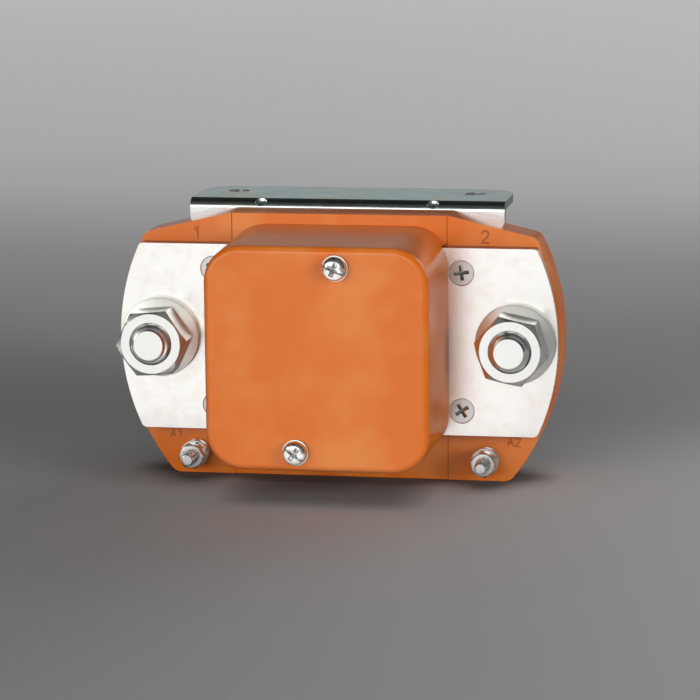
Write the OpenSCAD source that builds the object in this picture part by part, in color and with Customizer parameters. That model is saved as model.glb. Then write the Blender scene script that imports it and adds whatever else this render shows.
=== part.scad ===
// High voltage DC contactor, single pole, normally open, in millimetres.
// X runs from terminal 1 to terminal 2, Y from the arc cover back to the magnet.
// Z runs up from the resting face.

/* [Head moulding] */
// Radius of the rounded ends of the head
head_r = 67.3; // [62:0.1:72]
// Height of the head from its resting face to its flat top
head_h = 80.5; // [76:0.1:84]
// Thickness of the head from its front face to its back
head_t = 12.3; // [11:0.1:15]
// Width of the flat part of the head's top edge
head_flat_w = 66.5; // [50:0.5:72]
// Angle of the sloping shoulders
head_slant = 13.2; // [8:0.1:18]
// Rounding of the head's outer corners
head_corner_r = 4; // [1:0.5:6]

/* [Arc cover] */
// Width of the cover's front face
cover_w = 66.4; // [63:0.1:67]
// Head's face left clear above the cover
cover_rim = 3.25; // [2.5:0.05:4]
// Head's face left clear below the cover
cover_foot = 9.15; // [7:0.05:11]
// Front face of the cover, in front of the terminal plates
cover_depth = 34.2; // [32:0.1:42]
// Growth of the cover from front to rim, on each side
cover_draft = 0.85; // [0.5:0.05:1.4]
// Corner radius of the cover's front
cover_corner_r = 11; // [9:0.5:12]
// Rounding of the cover's front edge
cover_edge_r = 2; // [1:0.25:3]
// Wall of the cover
cover_wall = 3.2; // [2.5:0.1:3.4]
// Sideways place of the cover screws
cover_screw_x = 6.15; // [5:0.05:8]
// Cover screws from the cover's upper and lower edges
cover_screw_edge = 5.9; // [5.2:0.1:7]
// Width of the flange strips above and below the cover
strip_w = 65.6; // [63:0.1:66]
// Thickness of the flange strips
strip_t = 3; // [2:0.1:4]

/* [Main terminals] */
// Main terminals from the head's rounded ends
terminal_edge = 13.2; // [12.2:0.1:15]
// Thread diameter of the main studs
stud_d = 12; // [10:1:12]
// Diameter of the flat end of the stud
stud_tip_d = 8.6; // [7:0.1:9]
// Length of stud past the nut
stud_past = 2.8; // [1:0.1:8]
// Diameter of the clinch head behind the plate
stud_head_d = 18; // [16:0.5:20]
// Thickness of the clinch head
stud_head_t = 2.6; // [2:0.1:3]
// Nut width across flats
nut_af = 19; // [18:0.5:19]
// Nut height
nut_h = 10; // [8:0.1:11]
// Outer diameter of the conical washer
washer_d = 24; // [22:0.5:26]
// Sheet thickness of the conical washer
washer_t = 2.4; // [1.5:0.1:3]
// Free height of the conical washer
washer_h = 4.4; // [3.2:0.1:5]
// Thickness of the terminal plates
plate_t = 5; // [4:0.1:6]
// Upper edge of the plates below the upper rim of the cover
plate_drop = 5.65; // [5:0.05:7]
// Plates' rounded end inside the head's rounded end
plate_inset = 0.6; // [0.3:0.1:2]
// Corner rounding of the plates
plate_corner_r = 1.5; // [1:0.25:4]
// Height of the plates' contact tongues
tongue_h = 24; // [18:1:30]
// Inner end of the contact tongues
tongue_x = 11.5; // [10.5:0.1:12]
// Plate screws from the cover's side
plate_screw_side = 4.6; // [4.4:0.1:6]
// Plate screws from the plates' upper and lower edges
plate_screw_edge = 7.5; // [5:0.1:9]
// Thread diameter of the plate, cover and coil screws
small_screw_d = 4; // [3:0.5:4]
// Head diameter of the countersunk plate screws
plate_screw_head_d = 7.5; // [7:0.1:8]

/* [Coil terminals] */
// Coil studs from the head's rounded ends
coil_stud_edge = 22.65; // [21:0.05:24]
// Coil studs above the resting face
coil_stud_z = 6.75; // [6:0.05:7.5]
// Length of coil stud past its front nut
coil_stud_past = 5; // [2:0.1:8]
// Across flats of the coil nuts
coil_nut_af = 7; // [6.5:0.5:7]
// Height of the coil nuts
coil_nut_h = 3.2; // [2.4:0.1:4]
// Outer diameter of the flat washers
flat_washer_d = 8.4; // [8:0.1:9.5]
// Thickness of the flat washers
flat_washer_t = 0.8; // [0.5:0.1:1.2]
// Outer diameter of the split spring washers
spring_washer_d = 7.8; // [7:0.1:8]
// Thickness of the split spring washers
spring_washer_t = 1.1; // [0.8:0.1:1.4]

/* [Bracket] */
// Width of the bracket
bracket_w = 97; // [92:0.5:100]
// Sheet thickness of the bracket
bracket_t = 2.5; // [2:0.1:3]
// Outer bend radius
bend_r = 3; // [2.8:0.1:5]
// Length of the flange from the leg's front face
flange_len = 29; // [22:0.5:34]
// Rounding of the flange's rear corners
flange_corner_r = 10; // [4:0.5:12]
// Distance between the mounting holes
hole_spacing = 74; // [72:0.5:78]
// Diameter of the mounting holes
hole_d = 6.5; // [5.5:0.1:7]
// Mounting holes from the flange's rear edge
hole_edge = 10.75; // [8:0.25:12]
// Distance between the two darts pressed into the bend
dart_spacing = 53; // [40:0.5:64]
// Radius of the punch that presses the darts
dart_r = 2; // [1.5:0.1:3]

/* [Magnet] */
// Top of the yoke below the head's top
yoke_drop = 4.5; // [4:0.1:8]
// Width of the yoke and the pole plate
yoke_w = 60; // [56:1:62]
// Thickness of the yoke
yoke_t = 6; // [5:0.5:7]
// Clear length between pole plate and yoke back
yoke_depth = 50; // [46:1:60]
// Thickness of the pole plate
pole_t = 6; // [5:0.5:8]
// Diameter of the core and the plunger
core_d = 24; // [20:0.5:24]
// Length of the fixed core
core_len = 22; // [18:0.5:24]
// Wall of the brass plunger sleeve
sleeve_wall = 0.9; // [0.6:0.1:1.1]
// Wall of the bobbin tube
bobbin_wall = 1.6; // [1:0.1:2]
// Thickness of the bobbin's end flanges
bobbin_flange_t = 1.8; // [1.2:0.1:2.5]
// Outer diameter of the winding
winding_d = 57; // [48:0.5:58]
// Thickness of the tape wrap
tape_t = 0.8; // [0.4:0.1:1]
// Across flats of the core bolt
bolt_af = 13; // [13:1:16]
// Head height of the core bolt
bolt_head_h = 5.3; // [5:0.1:7]
// Thread diameter of the core bolt
bolt_d = 8; // [6:1:8]

/* [Contacts] */
// Gap between open contacts
contact_gap = 3.5; // [2.5:0.1:4]
// Further travel of the armature after the contacts meet
overtravel = 1; // [0.5:0.1:1.5]
// Diameter of the contact tips
tip_d = 9; // [7:0.5:10]
// Thickness of each contact tip
tip_t = 1.2; // [0.8:0.1:1.6]
// Sideways place of the contact tips
tip_x = 17.2; // [16.5:0.1:18]
// Gap between the contact bridge's ends and the arc liner
bridge_gap = 0.86; // [0.5:0.01:1.8]
// Height of the moving bridge
bridge_h = 18; // [15:0.5:22]
// Thickness of the moving bridge
bridge_t = 4; // [3:0.25:5]
// Diameter of the drive shaft
shaft_d = 6; // [5:0.5:6]
// Diameter of the hub sleeve that carries the bridge
hub_d = 10; // [9:0.5:10]
// Free space for the contact spring
contact_spring_len = 9.4; // [8:0.1:11]
// Wire of the contact spring
contact_wire_d = 1.4; // [1:0.1:1.6]
// Wire of the return spring
return_wire_d = 1.2; // [0.8:0.1:1.5]

/* [Fits] */
// Line between mouldings that meet
moulding_gap = 0.12; // [0.05:0.01:0.2]
// Line round the terminal plates
plate_gap = 0.3; // [0.2:0.05:0.5]
// Radial running clearance of the sliding parts
running_gap = 0.05; // [0.02:0.01:0.1]
// Radial clearance of fixed pieces in their seats
seat_gap = 0.02; // [0.01:0.01:0.05]
// Radial clearance of screws in plain holes
hole_gap = 0.3; // [0.2:0.05:0.5]
// Clearance between pieces that only stand close
stand_gap = 0.3; // [0.2:0.05:0.5]

/* [Hidden] */
$fn = 64;

// Colours of the materials
orange = "#d9713a";
plated = "#e6e4e0";
zinc = "#c3cacb";
steel = "#9aa0a4";
brass = "#c9a44a";
copper = "#b87347";
silver = "#dcdcdc";
nylon = "#e9e4d2";
dark = "#33363a";

// Sides of a rectangle or pair, right and left
SIDES = [1, -1];
// How far a cutter runs past the faces that it opens
over = 1;
// How far the arc of a rounding runs past the arc that it joins, so that the two cross
corner_past = 0.02;

// Depths along Y, with the front of the terminal plates at 0
face_y = plate_t;
strip_y = face_y + strip_t;
back_y = face_y + head_t;
leg_y = back_y;
pole_y = leg_y + bracket_t;
coil_y = pole_y + pole_t;
yoke_back_y = coil_y + yoke_depth;
rear_y = yoke_back_y + yoke_t;
cover_y = -cover_depth;

// Heights along Z
yoke_h = head_h - yoke_drop;
axis_z = yoke_h / 2;
flange_top_z = head_h + bracket_t;

// Cover and terminal plates
cover_h = head_h - cover_rim - cover_foot - 2 * cover_draft;
terminal_h = cover_foot + cover_draft + cover_h / 2;
cover_screw_z = cover_h / 2 - cover_screw_edge;
terminal_x = head_r - terminal_edge;
plate_r = head_r - plate_inset;
plate_h = cover_h + 2 * (cover_draft - plate_drop);
plate_zone_h = plate_h + 2 * plate_gap;
plate_screw_x = cover_w / 2 + plate_screw_side;
plate_screw_z = plate_h / 2 - plate_screw_edge;
plate_screw_len = plate_t + 0.75 * head_t;
shoulder_x = cover_w / 2 - cover_wall / 2;

// Coil terminals: washer, nut, flat washer, washer and nut, from the head's face forward
coil_stud_x = head_r - coil_stud_edge;
inner_nut_y = face_y - spring_washer_t;
flat_washer_y = inner_nut_y - coil_nut_h;
outer_washer_y = flat_washer_y - flat_washer_t;
outer_nut_y = outer_washer_y - spring_washer_t;

// Screw heads, washers and the overall depth
cover_head_d = 1.8 * small_screw_d;
cover_head_h = 0.65 * small_screw_d;
core_washer_t = 0.2 * bolt_d;
core_washer_d = 2.25 * bolt_d;
front_y = cover_y - spring_washer_t - cover_head_h;
end_y = rear_y + core_washer_t + bolt_head_h;
middle_y = (front_y + end_y) / 2;

// Inside of the cover
cover_in_w = cover_w - 2 * cover_wall;
cover_in_h = cover_h - 2 * cover_wall;
cover_in_y = cover_y + cover_wall;
post_d = 2.25 * small_screw_d;

// Armature travel and rest places
travel = contact_gap + overtravel;
fixed_tip_y = -tip_t;
moving_tip_y = fixed_tip_y - contact_gap - running_gap;
bridge_y = moving_tip_y - tip_t - bridge_t;
hub_flange_t = 2.5;
hub_flange_d = 16;
hub_flange_y = bridge_y + bridge_t + running_gap;
collar_t = face_y - stand_gap - travel - hub_flange_y - hub_flange_t;
collar_d = 9;
spring_seat_t = 1.2;
spring_seat_d = 17;
spring_seat_y = bridge_y - contact_spring_len - spring_seat_t;
shaft_nut_h = 5;
shaft_nut_af = shaft_d + 4;
shaft_front_y = spring_seat_y - shaft_nut_h - 1.5;
bumper_t = 2;
bumper_d = 22;
plunger_y = back_y + bumper_t + stand_gap;
plunger_end_y = yoke_back_y - core_len - travel - stand_gap;
shaft_thread = 9;
shaft_end_y = plunger_y + shaft_thread;
spring_hole_d = 14;
plunger_hole = 12;
core_hole = 6;

// Coil
sleeve_r = core_d / 2 + running_gap;
bobbin_bore_r = sleeve_r + sleeve_wall + seat_gap;
bobbin_r = bobbin_bore_r + bobbin_wall;
tape_r = winding_d / 2 + seat_gap + tape_t;
bobbin_flange_r = tape_r + 1.6;
bobbin_y = coil_y + stand_gap / 2;
bobbin_len = yoke_depth - stand_gap;
winding_y = bobbin_y + bobbin_flange_t + seat_gap;
winding_len = bobbin_len - 2 * bobbin_flange_t - 2 * seat_gap;

// Arc chamber
magnet_t = 4;
magnet_len = 22;
magnet_h = 30;
blow_t = 1.2;
blow_w = 20;
liner_t = 1.6;
liner_x = cover_in_w / 2 - magnet_t - 2 * seat_gap;
liner_h = 2 * (cover_screw_z - post_d / 2) - 2 * stand_gap;
bridge_w = 2 * (liner_x - liner_t - bridge_gap);
blow_y = cover_in_y + seat_gap;
liner_y = blow_y + blow_t + seat_gap;
magnet_y = liner_y + 2;

// Places of the screws
cover_screw_at = [for (s = SIDES) [s * cover_screw_x, terminal_h + s * cover_screw_z]];
head_screw_d = 1.25 * small_screw_d;
head_screw_head_d = 1.84 * head_screw_d;
head_screw_x = 2 * small_screw_d;
head_screw_z = plate_h / 2 - 0.6 * head_screw_head_d;
head_screw_at = [for (s = SIDES) [-s * head_screw_x, terminal_h + s * head_screw_z]];
plate_screw_at = [for (x = SIDES) for (z = SIDES)
    [x * plate_screw_x, terminal_h + z * plate_screw_z]
];
coil_stud_at = [for (s = SIDES) [s * coil_stud_x, coil_stud_z]];
yoke_screw_at = [for (x = SIDES) for (z = SIDES)
    [x * yoke_w / 3, axis_z + z * (yoke_h - yoke_t) / 2]
];
yoke_screw_head_d = 0.7 * plate_screw_head_d;
yoke_screw_grip = 2 * small_screw_d;
terminal_at = [for (s = SIDES) [s * terminal_x, terminal_h]];

// Depth of the darts in the bracket's bend, and how far they stand out inside it
dart_depth = 0.45 * bracket_t;
dart_reach = dart_depth + 0.9 * bracket_t;

// Coil lead: ring lug on the coil stud, then round the pole plate's edge to the winding
lug_t = 0.2 * small_screw_d;
lug_ring_d = 2 * small_screw_d;
lug_barrel_d = 0.9 * small_screw_d;
lug_barrel_len = 1.75 * small_screw_d;
lug_offset = 1.65 * small_screw_d;
lead_d = 0.55 * small_screw_d;
coil_head_h = 0.7 * small_screw_d;
lead_in = 0.75 * small_screw_d;

// Puts the origin at the middle of the resting face
module seat() {
    translate([0, -middle_y, 0]) children();
}

// Extrudes an X-Z outline back from y
module slab(y, t) {
    translate([0, y + t, 0]) rotate([90, 0, 0]) linear_extrude(t) children();
}

// Turns a profile of [radius, depth] points about a line along Y
module turned(at, points) {
    translate([at[0], 0, at[1]]) rotate([-90, 0, 0]) rotate_extrude() polygon(points);
}

// Round bar along Y
module bar(at, y, len, r) {
    translate([at[0], y, at[1]]) rotate([-90, 0, 0]) cylinder(r = r, h = len);
}

// Countersunk recess or head: wide at y, narrowing backwards at 90 degrees
module sink(at, y, d, core) {
    turned(at, [[0, y], [d / 2, y], [core / 2, y + (d - core) / 2], [0, y + (d - core) / 2]]);
}

// Rectangle with round corners about a centre
module rounded(at, w, h, r) {
    translate(at) {
        square([w - 2 * r, h], center = true);
        square([w, h - 2 * r], center = true);
        for (x = SIDES) for (z = SIDES) translate([x * (w / 2 - r), z * (h / 2 - r)]) circle(r);
    }
}

// What a rounding takes off where a straight edge, p from the centre along angle a, meets an end
module corner_waste(a, turn, p, end_r, r) {
    n = [cos(a), sin(a)];
    m = [cos(a + turn), sin(a + turn)];
    c = (p - r) * n + sqrt(pow(end_r - r + corner_past, 2) - pow(p - r, 2)) * m;
    on_edge = c + r * n;
    on_end = c * (end_r + over) / norm(c);
    difference() {
        polygon([c, on_edge, c + 4 * ((on_edge + on_end) / 2 - c), on_end]);
        translate(c) circle(r);
    }
}

// Outline of the head, seen from the front
module head_outline() {
    top = head_h - terminal_h;
    shoulder_p = head_flat_w / 2 * sin(head_slant) + top * cos(head_slant);
    drop = (head_r - head_flat_w / 2) * tan(head_slant);
    translate([0, terminal_h]) difference() {
        intersection() {
            circle(head_r);
            polygon([
                [-head_r, -terminal_h], [head_r, -terminal_h], [head_r, top - drop],
                [head_flat_w / 2, top], [-head_flat_w / 2, top], [-head_r, top - drop]
            ]);
        }
        for (s = [0, 1]) mirror([s, 0]) {
            corner_waste(-90, 90, terminal_h, head_r, head_corner_r);
            corner_waste(90 - head_slant, -90, shoulder_p, head_r, head_corner_r);
        }
    }
}

// Places of the cover's flange strips, from the terminal plates to the head's edges
module strips(gap) {
    for (s = SIDES) translate([0, terminal_h + s * (plate_zone_h + head_h - 2 * gap) / 2])
        square([strip_w + 2 * gap, head_h], center = true);
}

// Moulded base of the head, with seats for the cover's flange strips
module head_base() {
    through = head_t + 2 * over;
    front = face_y - over;
    color(orange) difference() {
        slab(face_y, head_t) head_outline();
        slab(front, strip_t + over) strips(moulding_gap);
        bar([0, axis_z], front, through, guide_bush_r() + seat_gap);
        for (at = terminal_at)
            bar(at, front, stud_head_t + over + seat_gap, stud_head_d / 2 + hole_gap);
        for (at = plate_screw_at)
            bar(at, front, plate_screw_len - plate_t + over, small_screw_d / 2 + seat_gap);
        for (at = coil_stud_at) bar(at, front, through, small_screw_d / 2 + seat_gap);
        for (at = cover_screw_at) bar(at, front, through, small_screw_d / 2 + hole_gap);
        for (at = head_screw_at) {
            bar(at, front, through, head_screw_d / 2 + hole_gap);
            sink(at, face_y - seat_gap, head_screw_head_d + 2 * hole_gap, head_screw_d);
        }
    }
}

// Outside of the cover's wall from a corner's centre outwards, as [distance, depth] points
function wall_profile() = concat(
    [[0, cover_y]],
    [for (a = [0 : 15 : 90]) [
        cover_corner_r - cover_edge_r * (1 - sin(a)),
        cover_y + cover_edge_r * (1 - cos(a))
    ]],
    [[cover_corner_r + cover_draft, face_y], [0, face_y]]
);

// Outside of the cover: round drafted corners, drafted sides and a solid middle
module cover_block() {
    in_x = cover_w / 2 - cover_corner_r;
    in_z = cover_h / 2 - cover_corner_r;
    translate([0, 0, terminal_h]) {
        slab(cover_y, face_y - cover_y) square([2 * in_x, 2 * in_z], center = true);
        for (x = SIDES) for (z = SIDES) turned([x * in_x, z * in_z], wall_profile());
        for (s = [0, 180]) {
            rotate([0, s, 0]) translate([in_x, 0, -in_z])
                linear_extrude(2 * in_z) polygon(wall_profile());
            rotate([0, s + 90, 0]) translate([in_z, 0, -in_x])
                linear_extrude(2 * in_x) polygon(wall_profile());
        }
    }
}

// Arc cover with its two flange strips and screw posts; its side walls stop above the terminal plates
module arc_cover() {
    color(orange) difference() {
        union() {
            difference() {
                union() {
                    cover_block();
                    slab(face_y - seat_gap, strip_t) intersection() {
                        head_outline();
                        strips(0);
                    }
                }
                slab(cover_in_y, strip_y - cover_in_y + over)
                    rounded([0, terminal_h], cover_in_w, cover_in_h, cover_corner_r - cover_wall);
                slab(-moulding_gap, face_y + over) translate([0, terminal_h])
                    square([2 * head_r, plate_zone_h], center = true);
            }
            for (at = cover_screw_at) bar(at, cover_in_y - seat_gap, face_y - cover_in_y, post_d / 2);
        }
        for (at = cover_screw_at)
            bar(at, cover_y - over, strip_y - cover_y + 2 * over, small_screw_d / 2 + hole_gap);
    }
}

// Terminal plate: a wide plate with a round outer end and a contact tongue that runs under the cover
module terminal_plate(side) {
    color(plated) difference() {
        slab(0, plate_t) mirror([side < 0 ? 1 : 0, 0]) union() {
            translate([0, terminal_h]) difference() {
                intersection() {
                    circle(plate_r);
                    translate([shoulder_x, -plate_h / 2]) square([plate_r, plate_h]);
                }
                corner_waste(90, -90, plate_h / 2, plate_r, plate_corner_r);
                corner_waste(-90, 90, plate_h / 2, plate_r, plate_corner_r);
            }
            translate([tongue_x, axis_z - tongue_h / 2]) square([shoulder_x - tongue_x + over, tongue_h]);
        }
        bar([side * terminal_x, terminal_h], -over, plate_t + 2 * over, stud_d / 2 + seat_gap);
        for (z = SIDES) {
            at = [side * plate_screw_x, terminal_h + z * plate_screw_z];
            bar(at, -over, plate_t + 2 * over, small_screw_d / 2 + hole_gap);
            sink(at, -seat_gap, plate_screw_head_d + hole_gap, small_screw_d);
        }
    }
}

module terminal_plate_left() {
    terminal_plate(-1);
}

module terminal_plate_right() {
    terminal_plate(1);
}

// Main stud with its clinch head behind the plate and a chamfered end
module terminal_stud(side) {
    end = -washer_h - nut_h - stud_past;
    chamfer = (stud_d - stud_tip_d) / 2;
    color(zinc) turned([side * terminal_x, terminal_h], [
        [0, end], [stud_tip_d / 2, end], [stud_d / 2, end + chamfer], [stud_d / 2, plate_t],
        [stud_head_d / 2, plate_t], [stud_head_d / 2, plate_t + stud_head_t], [0, plate_t + stud_head_t]
    ]);
}

module terminal_stud_left() {
    terminal_stud(-1);
}

module terminal_stud_right() {
    terminal_stud(1);
}

// Dished washers, wide rim on the plate
module conical_washers() {
    hole = stud_d / 2 + hole_gap;
    rim = washer_d / 2;
    color(zinc) for (at = terminal_at) turned(at, [
        [rim, 0], [hole, washer_t - washer_h], [hole, -washer_h], [rim, -washer_t]
    ]);
}

// Hexagon nut with chamfered corners and countersunk mouths, its back face at y
module hex_nut(at, y, af, h, d, turn) {
    corner_r = af / sqrt(3);
    face_r = 0.475 * af;
    wide_r = corner_r + over / 2;
    bevel = (wide_r - face_r) * tan(30);
    mouth = d * 0.04;
    difference() {
        intersection() {
            translate([at[0], y, at[1]]) rotate([90, turn, 0]) cylinder(r = corner_r, h = h, $fn = 6);
            turned(at, [
                [0, y - h], [face_r, y - h], [wide_r, y - h + bevel],
                [wide_r, y - bevel], [face_r, y], [0, y]
            ]);
        }
        turned(at, [
            [0, y - h - over], [d / 2 + mouth + over, y - h - over], [d / 2 + mouth, y - h],
            [d / 2 + seat_gap, y - h + mouth], [d / 2 + seat_gap, y - mouth],
            [d / 2 + mouth, y], [d / 2 + mouth, y + over], [0, y + over]
        ]);
    }
}

// Main nuts, as they came to rest when tightened
module terminal_nuts() {
    color(zinc) {
        hex_nut(terminal_at[0], -washer_h, nut_af, nut_h, stud_d, 12);
        hex_nut(terminal_at[1], -washer_h, nut_af, nut_h, stud_d, -5);
    }
}

// Cross recess with tapered arms reduced to straight slots
module cross_recess(at, y, reach, depth, turn) {
    arm = reach / 3.4;
    translate([at[0], y, at[1]]) rotate([0, turn, 0]) for (a = [0, 90]) rotate([0, a, 0])
        translate([-reach / 2, 0, -arm / 2]) cube([reach, depth, arm]);
}

// Countersunk screws that hold the terminal plates
module plate_screws() {
    recess = plate_screw_head_d * 0.56;
    color(zinc) for (i = [0 : len(plate_screw_at) - 1]) difference() {
        at = plate_screw_at[i];
        union() {
            sink(at, 0, plate_screw_head_d, small_screw_d);
            bar(at, 0, plate_screw_len - seat_gap, small_screw_d / 2);
        }
        cross_recess(at, -seat_gap, recess, plate_t / 2, 24 * i + 8);
    }
}

// Silver tips on the plates' tongues
module fixed_contacts() {
    color(silver) for (s = SIDES) bar([s * tip_x, axis_z], fixed_tip_y, tip_t, tip_d / 2);
}

// Coil studs, put in from behind
module coil_studs() {
    end = outer_nut_y - coil_nut_h - coil_stud_past;
    head = back_y + lug_t;
    r = small_screw_d / 2;
    chamfer = 0.15 * small_screw_d;
    color(zinc) for (at = coil_stud_at) union() {
        turned(at, [
            [0, end], [r - chamfer, end], [r, end + chamfer], [r, head + over], [0, head + over]
        ]);
        translate([at[0], head + coil_head_h, at[1]]) rotate([90, 0, 0])
            cylinder(r = coil_nut_af / sqrt(3), h = coil_head_h, $fn = 6);
    }
}

module coil_flat_washers() {
    hole = small_screw_d / 2 + hole_gap;
    rim = flat_washer_d / 2;
    y = flat_washer_y;
    color(zinc) for (at = coil_stud_at)
        turned(at, [[hole, y], [rim, y], [rim, outer_washer_y], [hole, outer_washer_y]]);
}

// Split ring, its back face at y, its slit at an angle
module split_washer(at, y, turn) {
    hole = small_screw_d / 2 + seat_gap;
    rim = spring_washer_d / 2;
    front = y - spring_washer_t;
    slit = 0.12 * spring_washer_d;
    difference() {
        turned(at, [[hole, y], [rim, y], [rim, front], [hole, front]]);
        translate([at[0], y, at[1]]) rotate([0, turn, 0])
            translate([0, -spring_washer_t - over, -slit / 2])
                cube([spring_washer_d, spring_washer_t + 2 * over, slit]);
    }
}

// One under the inner nut and one under the outer nut of each coil stud
module coil_spring_washers() {
    color(zinc) for (i = [0, 1]) {
        split_washer(coil_stud_at[i], face_y, 90 + 180 * i);
        split_washer(coil_stud_at[i], outer_washer_y, 200 + 90 * i);
    }
}

// The inner nut holds the stud, the outer nut the wire
module coil_nuts() {
    color(zinc) for (i = [0, 1]) {
        hex_nut(coil_stud_at[i], inner_nut_y, coil_nut_af, coil_nut_h, small_screw_d, 14 + 20 * i);
        hex_nut(coil_stud_at[i], outer_nut_y, coil_nut_af, coil_nut_h, small_screw_d, 20 - 16 * i);
    }
}

// Ring lugs on the coil studs, bent so that their barrels point back
module lead_lugs() {
    color(zinc) for (s = SIDES) translate([s * coil_stud_x, 0, coil_stud_z]) difference() {
        union() {
            slab(back_y, lug_t) {
                circle(lug_ring_d / 2);
                translate([s < 0 ? 0 : -lug_offset, -lug_barrel_d / 2]) square([lug_offset, lug_barrel_d]);
            }
            bar([-s * lug_offset, 0], back_y, lug_barrel_len, lug_barrel_d / 2);
        }
        bar([0, 0], back_y - over, lug_t + 2 * over, small_screw_d / 2 + seat_gap);
        bar([-s * lug_offset, 0], back_y + lug_barrel_len - lead_in, lead_in + over, lead_d / 2 + seat_gap);
    }
}

// Unit vector
function unit(v) = v / norm(v);

// Tube of round section along a path: one polyhedron with a ring of points at each path point
module sweep(path, r, sides, ref) {
    n = len(path);
    rings = [for (i = [0 : n - 1])
        let (
            t = unit(path[min(i + 1, n - 1)] - path[max(i - 1, 0)]),
            u = unit(cross(t, ref)),
            v = cross(t, u)
        )
        for (k = [0 : sides - 1]) path[i] + r * (cos(360 * k / sides) * u + sin(360 * k / sides) * v)
    ];
    walls = [for (i = [0 : n - 2]) for (k = [0 : sides - 1]) [
        i * sides + k, i * sides + (k + 1) % sides,
        (i + 1) * sides + (k + 1) % sides, (i + 1) * sides + k
    ]];
    ends = [[for (k = [sides - 1 : -1 : 0]) k], [for (k = [0 : sides - 1]) (n - 1) * sides + k]];
    polyhedron(rings, concat(walls, ends));
}

// Coil leads, from the lug barrels round the pole plate's edges to the winding
module coil_leads() {
    lug_x = coil_stud_x - lug_offset;
    lug_end = back_y + lug_barrel_len;
    turn_y = coil_y + 3.2 * lead_d;
    coil_x = tape_r * cos(40);
    coil_z = axis_z - tape_r * sin(40);
    rise = coil_z - coil_stud_z;
    reach = lead_d / 2 + 2 * stand_gap;
    route = [
        [lug_x, lug_end - lead_in + stand_gap, coil_stud_z], [lug_x, lug_end, coil_stud_z],
        [lug_x - 0.1 * lead_d, lug_end + 1.4 * lead_d, coil_stud_z + 0.03 * rise],
        [lug_x - 0.5 * lead_d, turn_y - 0.7 * lead_d, coil_stud_z + 0.15 * rise],
        [lug_x - 1.2 * lead_d, turn_y + 0.2 * lead_d, coil_stud_z + 0.36 * rise],
        [yoke_w / 2 + 1.4 * lead_d, turn_y + 0.3 * lead_d, coil_stud_z + 0.58 * rise],
        [yoke_w / 2 - 0.2 * lead_d, turn_y, coil_z - 1.8 * lead_d],
        [coil_x + reach + 0.4 * lead_d, turn_y - 0.3 * lead_d, coil_z - reach + 0.3 * lead_d],
        [coil_x + reach * 0.77, turn_y - 0.5 * lead_d, coil_z - reach * 0.64 + 0.9 * lead_d]
    ];
    color("#b3261e") for (s = SIDES)
        sweep([for (p = route) [s * p[0], p[1], p[2]]], lead_d / 2, 10, [0, 0.2, 1]);
}

// Pan head cover screws with a slot and a cross recess
module cover_screws() {
    y = cover_y - spring_washer_t;
    r = cover_head_d / 2;
    end = pole_y + 0.92 * pole_t;
    slot_turn = [23, 36];
    slot_w = 0.25 * small_screw_d;
    color(zinc) for (i = [0, 1]) difference() {
        at = cover_screw_at[i];
        turned(at, [
            [0, y - cover_head_h], [r * 0.55, y - cover_head_h], [r * 0.82, y - cover_head_h * 0.86],
            [r * 0.96, y - cover_head_h * 0.6], [r, y - cover_head_h * 0.25], [r, y],
            [small_screw_d / 2, y], [small_screw_d / 2, end], [0, end]
        ]);
        cross_recess(at, y - cover_head_h - over, r * 1.16, over + cover_head_h * 0.55, slot_turn[i]);
        translate([at[0], y - cover_head_h, at[1]]) rotate([0, slot_turn[i], 0])
            translate([-r - over, -over, -slot_w / 2])
                cube([cover_head_d + 2 * over, over + cover_head_h * 0.4, slot_w]);
    }
}

module cover_spring_washers() {
    color(zinc) for (i = [0, 1]) split_washer(cover_screw_at[i], cover_y, 190 - 10 * i);
}

// Countersunk screws that hold the head and the bracket to the pole plate
module head_screws() {
    reach = pole_y + 0.85 * pole_t - face_y;
    color(zinc) for (at = head_screw_at) difference() {
        union() {
            sink(at, face_y, head_screw_head_d, head_screw_d);
            bar(at, face_y, reach, head_screw_d / 2);
        }
        cross_recess(at, face_y - seat_gap, head_screw_head_d / 2, 0.4 * head_screw_d, 30);
    }
}

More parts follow.
